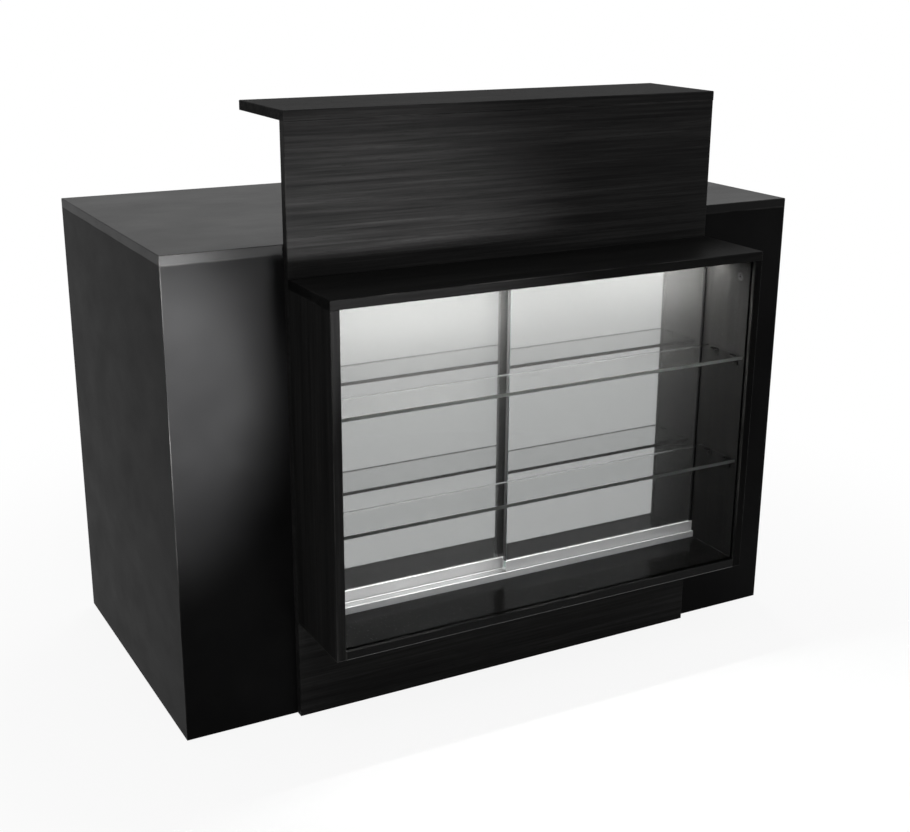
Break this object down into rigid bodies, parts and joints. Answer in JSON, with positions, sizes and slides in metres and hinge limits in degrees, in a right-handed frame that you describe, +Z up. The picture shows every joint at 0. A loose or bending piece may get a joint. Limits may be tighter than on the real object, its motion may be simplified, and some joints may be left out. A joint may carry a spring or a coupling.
{
  "type": "reception desk",
  "caption": "Black reception desk with a wood-grain fascia, a raised ledge and a lit glass showcase closed by sliding mirror doors; shelves and a locking drawer on the staff side.",
  "frame": {"origin": "centre of the footprint on the floor", "axes": "+X to the visitor's right, +Y from the visitor's side to the staff side, +Z up"},
  "size_m": [1.22, 0.778, 1.037],
  "materials": {
    "black_laminate": "satin melamine on chipboard",
    "grained_laminate": "embossed black wood-grain melamine on chipboard",
    "clear_glass": "clear float glass, polished edges",
    "mirror": "silvered float glass",
    "bright_aluminium": "bright anodised extrusion",
    "dark_aluminium": "black anodised extrusion",
    "nylon": "natural nylon",
    "zinc": "zinc plated",
    "bracket_paint": "black powder coat",
    "light_board": "flexible light strip",
    "opal": "opal diffuser",
    "black_plastic": "moulded black plastic",
    "gloss_black": "moulded gloss black plastic",
    "steel": "brushed steel",
    "lock_chrome": "bright chrome",
    "drawer_base": "pale faced hardboard",
    "glide_plastic": "hard plastic glide"
  },
  "bodies": {
    "desk": {"bottom_track": "bright_aluminium", "cable_grommet": "black_plastic", "corner_blocks": "black_plastic", "fascia": "grained_laminate", "floor_glides": "glide_plastic", "front_glass": "clear_glass", "front_panel": "black_laminate", "glass_shelf_clips": "zinc", "ledge": "grained_laminate", "ledge_brackets": "bracket_paint", "left_end_panel": "black_laminate", "left_inner_upright": "black_laminate", "left_runner": "zinc", "left_tower_bottom": "black_laminate", "left_tower_lower_shelf": "black_laminate", "left_tower_upper_shelf": "black_laminate", "light_diffuser": "opal", "light_driver": "black_plastic", "light_profile": "bright_aluminium", "light_strip": "light_board", "light_switch_housing": "black_plastic", "lock_keeper": "zinc", "lower_glass_shelf": "clear_glass", "right_end_panel": "black_laminate", "right_inner_upright": "black_laminate", "right_runner": "zinc", "right_tower_bottom": "black_laminate", "right_tower_lower_shelf": "black_laminate", "right_tower_upper_shelf": "black_laminate", "showcase_cam_bolts": "zinc", "showcase_cams": "zinc", "showcase_deck": "grained_laminate", "showcase_left_side": "grained_laminate", "showcase_right_side": "grained_laminate", "showcase_top": "grained_laminate", "top_track": "bright_aluminium", "tower_shelf_clips": "zinc", "upper_glass_shelf": "clear_glass", "worktop": "black_laminate"},
    "left_mirror_door": {"left_mirror": "mirror", "left_mirror_rail": "bright_aluminium", "left_mirror_pull": "dark_aluminium", "left_mirror_skids": "nylon"},
    "right_mirror_door": {"right_mirror": "mirror", "right_mirror_rail": "bright_aluminium", "right_mirror_pull": "dark_aluminium", "right_mirror_skids": "nylon"},
    "drawer": {"drawer_front": "black_laminate", "drawer_left_side": "black_laminate", "drawer_right_side": "black_laminate", "drawer_back": "black_laminate", "drawer_bottom": "drawer_base", "drawer_slides": "zinc", "drawer_handle": "steel", "lock_barrel": "lock_chrome"},
    "lock": {"lock_plug": "lock_chrome"},
    "light_switch": {"light_switch_rocker": "gloss_black"},
    "cable_cap": {"grommet_cap": "black_plastic"}
  },
  "joints": [
    {"name": "left_door_slide", "type": "slide", "parent": "desk", "child": "left_mirror_door", "axis": [1, 0, 0], "range_m": [0, 0.37]},
    {"name": "right_door_slide", "type": "slide", "parent": "desk", "child": "right_mirror_door", "axis": [-1, 0, 0], "range_m": [0, 0.37]},
    {"name": "drawer_slide", "type": "slide", "parent": "desk", "child": "drawer", "axis": [0, 1, 0], "range_m": [0, 0.3]},
    {"name": "lock_turn", "type": "hinge", "parent": "drawer", "child": "lock", "pos_m": [0, 0.344, 0.785], "axis": [0, 1, 0], "range_deg": [0, 90]},
    {"name": "switch_rock", "type": "hinge", "parent": "desk", "child": "light_switch", "pos_m": [0.396, 0.329, 0.6], "axis": [0, 1, 0], "range_deg": [0, 14]},
    {"name": "cap_turn", "type": "hinge", "parent": "desk", "child": "cable_cap", "pos_m": [0.502, 0.309, 0.83], "axis": [0, 0, 1], "continuous": true}
  ]
}
